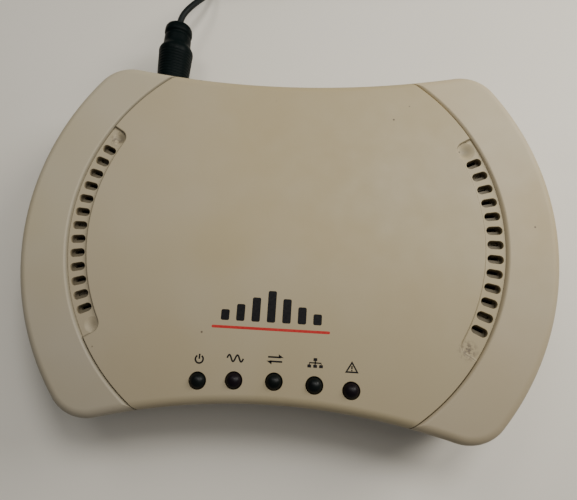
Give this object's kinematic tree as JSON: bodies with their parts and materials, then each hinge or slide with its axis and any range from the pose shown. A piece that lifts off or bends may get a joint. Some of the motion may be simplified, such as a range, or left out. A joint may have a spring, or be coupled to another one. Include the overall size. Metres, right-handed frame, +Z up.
{
  "type": "broadband modem",
  "caption": "Low desktop broadband modem with a waisted housing, curved side covers, slotted recesses, front indicator lamps and a plugged-in power lead with its wall adapter.",
  "frame": {"origin": "on the surface the modem stands on, under the middle of its housing", "axes": "+X to the modem's right seen from the front, +Y to the rear where the sockets are, +Z up"},
  "size_m": [0.168, 0.2272, 0.043],
  "materials": {
    "housing": "fine-textured moulded ABS, beige, slightly yellowed",
    "board": "green solder mask",
    "foot_rubber": "matt dark rubber",
    "screw_steel": "zinc-plated",
    "lamp_green_black": "unlit lamp, polished greenish-black dome",
    "lamp_plum_black": "unlit lamp, polished plum-black dome",
    "black_plastic": "satin black moulding",
    "white_nylon": "natural nylon",
    "chip_epoxy": "moulded chip packages",
    "transformer_tape": "yellow winding tape on a ferrite core",
    "capacitor_sleeve": "shrink sleeve on an aluminium can",
    "ferrite": "ferrite drum",
    "tinned_metal": "nickel or tin plate",
    "gold_contacts": "gold-plated springs",
    "plug_pvc": "satin black moulded PVC with faint ribs",
    "cord_pvc": "satin black flexible PVC",
    "adapter_plastic": "fine-textured black moulding"
  },
  "bodies": {
    "modem": {"base_shell": "housing", "top_cover": "housing", "left_side_cover": "housing", "right_side_cover": "housing", "circuit_board": "board", "foot_rear_right": "foot_rubber", "foot_rear_left": "foot_rubber", "foot_front_left": "foot_rubber", "foot_front_right": "foot_rubber", "screw_rear_right": "screw_steel", "screw_rear_left": "screw_steel", "screw_front_left": "screw_steel", "screw_front_right": "screw_steel", "lamp_power": "lamp_green_black", "lamp_session": "lamp_green_black", "lamp_network": "lamp_green_black", "lamp_line": "lamp_plum_black", "lamp_alarm": "lamp_plum_black", "lamp_power_spacer": "black_plastic", "lamp_line_spacer": "black_plastic", "lamp_session_spacer": "black_plastic", "lamp_network_spacer": "black_plastic", "lamp_alarm_spacer": "black_plastic", "power_jack": "black_plastic", "network_socket": "black_plastic", "line_socket": "black_plastic", "reset_switch": "black_plastic", "power_switch": "white_nylon", "main_processor": "chip_epoxy", "memory_chip": "chip_epoxy", "flash_chip": "chip_epoxy", "line_driver_chip": "chip_epoxy", "network_transformer": "chip_epoxy", "voltage_regulator": "chip_epoxy", "line_transformer": "transformer_tape", "bulk_capacitor_1": "capacitor_sleeve", "bulk_capacitor_2": "capacitor_sleeve", "small_capacitor_1": "capacitor_sleeve", "small_capacitor_2": "capacitor_sleeve", "power_inductor": "ferrite", "clock_crystal": "tinned_metal", "power_jack_pin": "tinned_metal", "power_jack_spring": "tinned_metal", "network_socket_contacts": "gold_contacts", "line_socket_contacts": "gold_contacts"},
    "power_button": {"power_button": "black_plastic"},
    "reset_button": {"reset_button": "white_nylon"},
    "power_lead": {"plug_grip": "plug_pvc", "plug_sleeve": "tinned_metal", "plug_insulator": "plug_pvc", "cord_to_coil": "cord_pvc", "cord_coil": "cord_pvc", "coil_tie": "cord_pvc", "cord_to_adapter": "cord_pvc", "adapter_bush": "cord_pvc", "adapter_case": "adapter_plastic", "adapter_face": "adapter_plastic", "adapter_blade_front": "tinned_metal", "adapter_blade_rear": "tinned_metal"}
  },
  "joints": [
    {"name": "power_plug_pull", "type": "slide", "parent": "modem", "child": "power_lead", "axis": [0, 1, 0], "range_m": [0, 0.012]},
    {"name": "power_button_press", "type": "slide", "parent": "modem", "child": "power_button", "axis": [0, -1, 0], "range_m": [0, 0.0025], "stiffness_N_per_m": 600, "springref_m": -0.001},
    {"name": "reset_button_press", "type": "slide", "parent": "modem", "child": "reset_button", "axis": [0, -1, 0], "range_m": [0, 0.0003], "stiffness_N_per_m": 3000, "springref_m": -0.0002}
  ]
}
